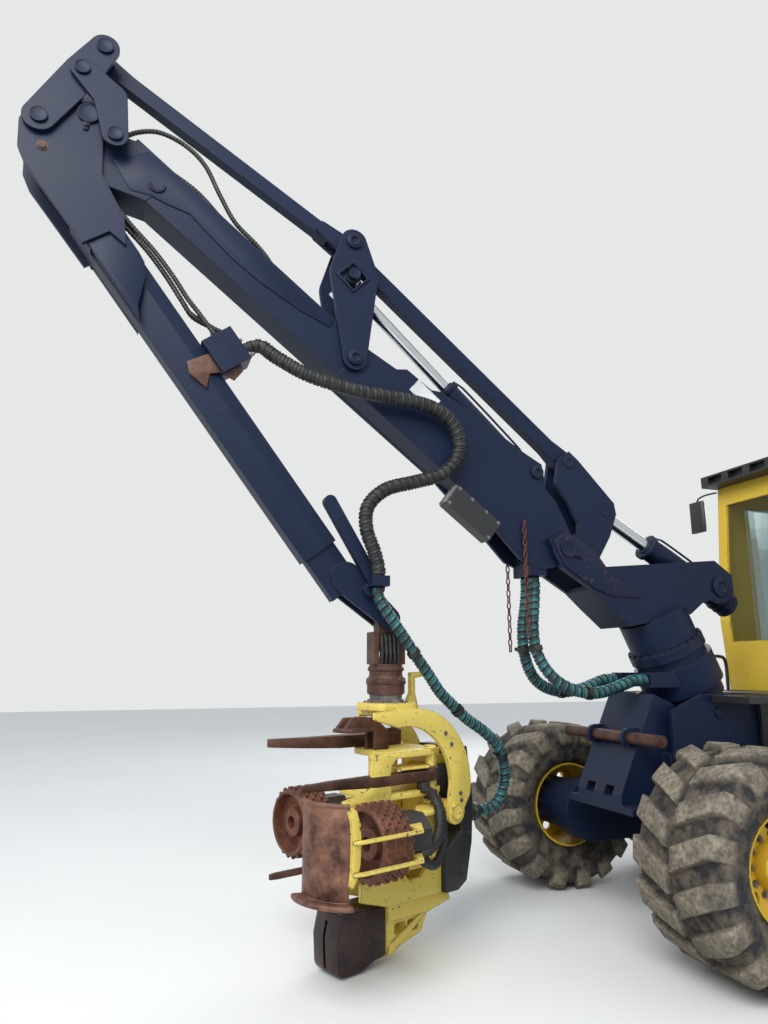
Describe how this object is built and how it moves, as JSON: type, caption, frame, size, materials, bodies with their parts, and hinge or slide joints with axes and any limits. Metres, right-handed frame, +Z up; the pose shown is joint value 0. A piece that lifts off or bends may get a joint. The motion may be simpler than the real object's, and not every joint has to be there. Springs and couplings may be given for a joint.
{
  "type": "forestry harvester",
  "caption": "Articulated forestry harvester on wide wheels with a glazed cab, engine hood, parallel boom crane and a hanging felling and delimbing head.",
  "frame": {"origin": "centre of the bounding box on the ground plane, under the middle of the machine with its crane", "axes": "+X forward along the machine towards the crane, +Y to the machine's left, +Z up"},
  "size_m": [11.15, 2.95, 6.1049],
  "materials": {
    "navy_paint": "worn satin",
    "yellow_paint": "worn satin",
    "dark_paint": "satin",
    "rusty_steel": "rough, rusty",
    "saw_box_steel": "rough",
    "chromed_rod": "polished",
    "engine_iron": "rough",
    "tyre_rubber": "dusty",
    "hose_teal": "satin",
    "hose_black": "satin",
    "cab_glass": "clear",
    "seat_fabric": "woven",
    "lamp_black": "matte"
  },
  "bodies": {
    "front": {"front_frame": "navy_paint", "front_bar": "rusty_steel", "bogie_axle": "navy_paint", "bogie_boxes": "navy_paint", "deck": "dark_paint", "cab_shell": "yellow_paint", "cab_roof": "dark_paint", "cab_glass": "cab_glass", "seat": "seat_fabric"},
    "rear": {"rear_frame": "navy_paint", "rear_axle": "navy_paint", "engine_hood": "yellow_paint", "engine": "engine_iron", "exhaust": "dark_paint"},
    "door": {"cab_door": "yellow_paint", "door_glass": "cab_glass"},
    "crane_base": {"crane_base": "navy_paint"},
    "pillar": {"pillar": "navy_paint", "base_hoses": "hose_teal"},
    "lift_barrel": {"lift_barrel": "navy_paint"},
    "lift_rod": {"lift_rod": "chromed_rod"},
    "rocker": {"rocker": "navy_paint"},
    "boom": {"main_boom": "navy_paint", "work_lamp": "lamp_black", "chains": "rusty_steel"},
    "mid_lever": {"mid_lever": "navy_paint"},
    "lower_tie": {"lower_tie": "navy_paint"},
    "upper_tie": {"upper_tie": "navy_paint"},
    "jib_barrel": {"jib_barrel": "navy_paint"},
    "jib_rod": {"jib_rod": "chromed_rod"},
    "knuckle_lever": {"knuckle_lever": "navy_paint"},
    "knuckle_link": {"knuckle_link": "navy_paint"},
    "jib": {"jib": "navy_paint", "jib_hoses": "hose_black"},
    "extension": {"extension": "navy_paint"},
    "tip_link": {"tip_link": "rusty_steel"},
    "rotator": {"rotator": "dark_paint"},
    "head_frame": {"head_frame": "yellow_paint", "head_hose": "hose_teal"},
    "head_body": {"head_body": "yellow_paint", "saw_box": "saw_box_steel"},
    "feed_arm_left": {"feed_arm_left": "yellow_paint"},
    "feed_arm_right": {"feed_arm_right": "yellow_paint"},
    "roller_left": {"roller_left": "rusty_steel"},
    "roller_right": {"roller_right": "rusty_steel"},
    "knife_left": {"knife_left": "rusty_steel"},
    "knife_right": {"knife_right": "rusty_steel"},
    "wheel_front_left": {"tyre_front_left": "tyre_rubber", "rim_front_left": "yellow_paint"},
    "wheel_front_right": {"tyre_front_right": "tyre_rubber", "rim_front_right": "yellow_paint"},
    "wheel_mid_left": {"tyre_mid_left": "tyre_rubber", "rim_mid_left": "yellow_paint"},
    "wheel_mid_right": {"tyre_mid_right": "tyre_rubber", "rim_mid_right": "yellow_paint"},
    "wheel_rear_left": {"tyre_rear_left": "tyre_rubber", "rim_rear_left": "yellow_paint"},
    "wheel_rear_right": {"tyre_rear_right": "tyre_rubber", "rim_rear_right": "yellow_paint"}
  },
  "joints": [
    {"name": "front_left_roll", "type": "hinge", "parent": "front", "child": "wheel_front_left", "pos_m": [0.98, 1.12, 0.67], "axis": [0, 1, 0], "continuous": true},
    {"name": "front_right_roll", "type": "hinge", "parent": "front", "child": "wheel_front_right", "pos_m": [0.98, -1.12, 0.67], "axis": [0, 1, 0], "continuous": true},
    {"name": "mid_left_roll", "type": "hinge", "parent": "front", "child": "wheel_mid_left", "pos_m": [-0.52, 1.12, 0.67], "axis": [0, 1, 0], "continuous": true},
    {"name": "mid_right_roll", "type": "hinge", "parent": "front", "child": "wheel_mid_right", "pos_m": [-0.52, -1.12, 0.67], "axis": [0, 1, 0], "continuous": true},
    {"name": "rear_left_roll", "type": "hinge", "parent": "rear", "child": "wheel_rear_left", "pos_m": [-3.82, 1.12, 0.82], "axis": [0, 1, 0], "continuous": true},
    {"name": "rear_right_roll", "type": "hinge", "parent": "rear", "child": "wheel_rear_right", "pos_m": [-3.82, -1.12, 0.82], "axis": [0, 1, 0], "continuous": true},
    {"name": "steer", "type": "hinge", "parent": "front", "child": "rear", "pos_m": [-1.72, 0, 1.03], "axis": [0, 0, 1], "range_deg": [-38, 38]},
    {"name": "door_hinge", "type": "hinge", "parent": "front", "child": "door", "pos_m": [-2.278, 0.824, 2.5], "axis": [0, 0, 1], "range_deg": [0, 85]},
    {"name": "crane_tilt", "type": "hinge", "parent": "front", "child": "crane_base", "pos_m": [0.42, 0, 1.48], "axis": [0, -1, 0], "range_deg": [0, 30]},
    {"name": "crane_slew", "type": "hinge", "parent": "crane_base", "child": "pillar", "pos_m": [0.394, 0, 1.633], "axis": [0.4321, 0, 0.9018], "range_deg": [-105, 105]},
    {"name": "crane_lift", "type": "hinge", "parent": "pillar", "child": "rocker", "pos_m": [1.565, 0, 2.695], "axis": [0, -1, 0], "range_deg": [-25, 30]},
    {"name": "lift_barrel_swing", "type": "hinge", "parent": "pillar", "child": "lift_barrel", "pos_m": [0.115, 0, 2.46], "axis": [0, -1, 0], "range_deg": [-40, 40]},
    {"name": "lift_rod_slide", "type": "slide", "parent": "lift_barrel", "child": "lift_rod", "axis": [0.8653, 0, 0.5012], "range_m": [-0.5, 0.5]},
    {"name": "boom_drop", "type": "hinge", "parent": "rocker", "child": "boom", "pos_m": [1.565, 0, 2.695], "axis": [0, -1, 0], "range_deg": [-72, 2], "deforming": ["base_hoses", "chains"]},
    {"name": "mid_lever_swing", "type": "hinge", "parent": "boom", "child": "mid_lever", "pos_m": [3.26, 0, 4], "axis": [0, -1, 0], "range_deg": [-2, 60]},
    {"name": "lower_tie_swing", "type": "hinge", "parent": "rocker", "child": "lower_tie", "pos_m": [1.44, 0, 3.415], "axis": [0, -1, 0], "range_deg": [-66, 2]},
    {"name": "upper_tie_swing", "type": "hinge", "parent": "mid_lever", "child": "upper_tie", "pos_m": [3.275, 0, 4.93], "axis": [0, -1, 0], "range_deg": [-60, 2]},
    {"name": "jib_barrel_swing", "type": "hinge", "parent": "boom", "child": "jib_barrel", "pos_m": [1.77, 0, 3.29], "axis": [0, -1, 0], "range_deg": [-2, 12]},
    {"name": "jib_fold", "type": "hinge", "parent": "boom", "child": "jib", "pos_m": [5.165, 0, 5.48], "axis": [0, -1, 0], "range_deg": [0, 130], "deforming": ["jib_hoses"]},
    {"name": "knuckle_lever_swing", "type": "hinge", "parent": "jib", "child": "knuckle_lever", "pos_m": [5.46, 0, 5.36], "axis": [0, -1, 0], "range_deg": [-60, 2]},
    {"name": "knuckle_link_swing", "type": "hinge", "parent": "boom", "child": "knuckle_link", "pos_m": [4.985, 0, 5.32], "axis": [0, -1, 0], "range_deg": [-2, 80]},
    {"name": "jib_rod_slide", "type": "slide", "parent": "jib_barrel", "child": "jib_rod", "axis": [0.7372, 0, 0.6757], "range_m": [-0.62, 0.02]},
    {"name": "extension_slide", "type": "slide", "parent": "jib", "child": "extension", "axis": [-0.6025, 0, -0.7981], "range_m": [0, 1]},
    {"name": "tip_link_swing", "type": "hinge", "parent": "extension", "child": "tip_link", "pos_m": [2.965, 0, 2.145], "axis": [0, 1, 0], "range_deg": [-5, 95]},
    {"name": "rotator_swing", "type": "hinge", "parent": "tip_link", "child": "rotator", "pos_m": [2.965, 0, 1.985], "axis": [1, 0, 0], "range_deg": [-30, 30]},
    {"name": "rotator_turn", "type": "hinge", "parent": "rotator", "child": "head_frame", "pos_m": [2.965, 0, 1.64], "axis": [0, 0, 1], "continuous": true},
    {"name": "head_tilt", "type": "hinge", "parent": "head_frame", "child": "head_body", "pos_m": [2.57033, -0.14365, 0.86], "axis": [-0.342, 0.9397, 0], "range_deg": [0, 90], "deforming": ["head_hose"]},
    {"name": "feed_arm_left_swing", "type": "hinge", "parent": "head_body", "child": "feed_arm_left", "pos_m": [2.68389, 0.09988, 0.81], "axis": [0, 0, 1], "range_deg": [-12, 25]},
    {"name": "feed_arm_right_swing", "type": "hinge", "parent": "head_body", "child": "feed_arm_right", "pos_m": [2.81385, -0.25721, 0.81], "axis": [0, 0, -1], "range_deg": [-12, 25]},
    {"name": "knife_left_swing", "type": "hinge", "parent": "head_body", "child": "knife_left", "pos_m": [2.68389, 0.09988, 1.135], "axis": [0, 0, 1], "range_deg": [-15, 45]},
    {"name": "knife_right_swing", "type": "hinge", "parent": "head_body", "child": "knife_right", "pos_m": [2.81385, -0.25721, 1.135], "axis": [0, 0, -1], "range_deg": [-15, 45]},
    {"name": "roller_left_spin", "type": "hinge", "parent": "feed_arm_left", "child": "roller_left", "pos_m": [3.20407, 0.51269, 0.81], "axis": [0.9397, 0.342, 0], "continuous": true},
    {"name": "roller_right_spin", "type": "hinge", "parent": "feed_arm_right", "child": "roller_right", "pos_m": [3.47769, -0.23907, 0.81], "axis": [0.9397, 0.342, 0], "continuous": true}
  ],
  "couplings": [
    {"joint": "lift_barrel_swing", "follows": "crane_lift", "ratio": -0.23157},
    {"joint": "lift_rod_slide", "follows": "crane_lift", "m_per_rad": -0.47239},
    {"joint": "boom_drop", "follows": "jib_fold", "ratio": -0.52692},
    {"joint": "mid_lever_swing", "follows": "jib_fold", "ratio": 0.42154},
    {"joint": "lower_tie_swing", "follows": "jib_fold", "ratio": -0.47923},
    {"joint": "upper_tie_swing", "follows": "jib_fold", "ratio": -0.42615},
    {"joint": "jib_barrel_swing", "follows": "jib_fold", "ratio": 0.051097},
    {"joint": "knuckle_lever_swing", "follows": "jib_fold", "ratio": -0.42615},
    {"joint": "knuckle_link_swing", "follows": "jib_fold", "ratio": 0.58077},
    {"joint": "jib_rod_slide", "follows": "jib_fold", "m_per_rad": -0.25507},
    {"joint": "tip_link_swing", "follows": "jib_fold", "ratio": 0.65},
    {"joint": "feed_arm_right_swing", "follows": "feed_arm_left_swing", "ratio": 1},
    {"joint": "knife_right_swing", "follows": "knife_left_swing", "ratio": 1}
  ]
}
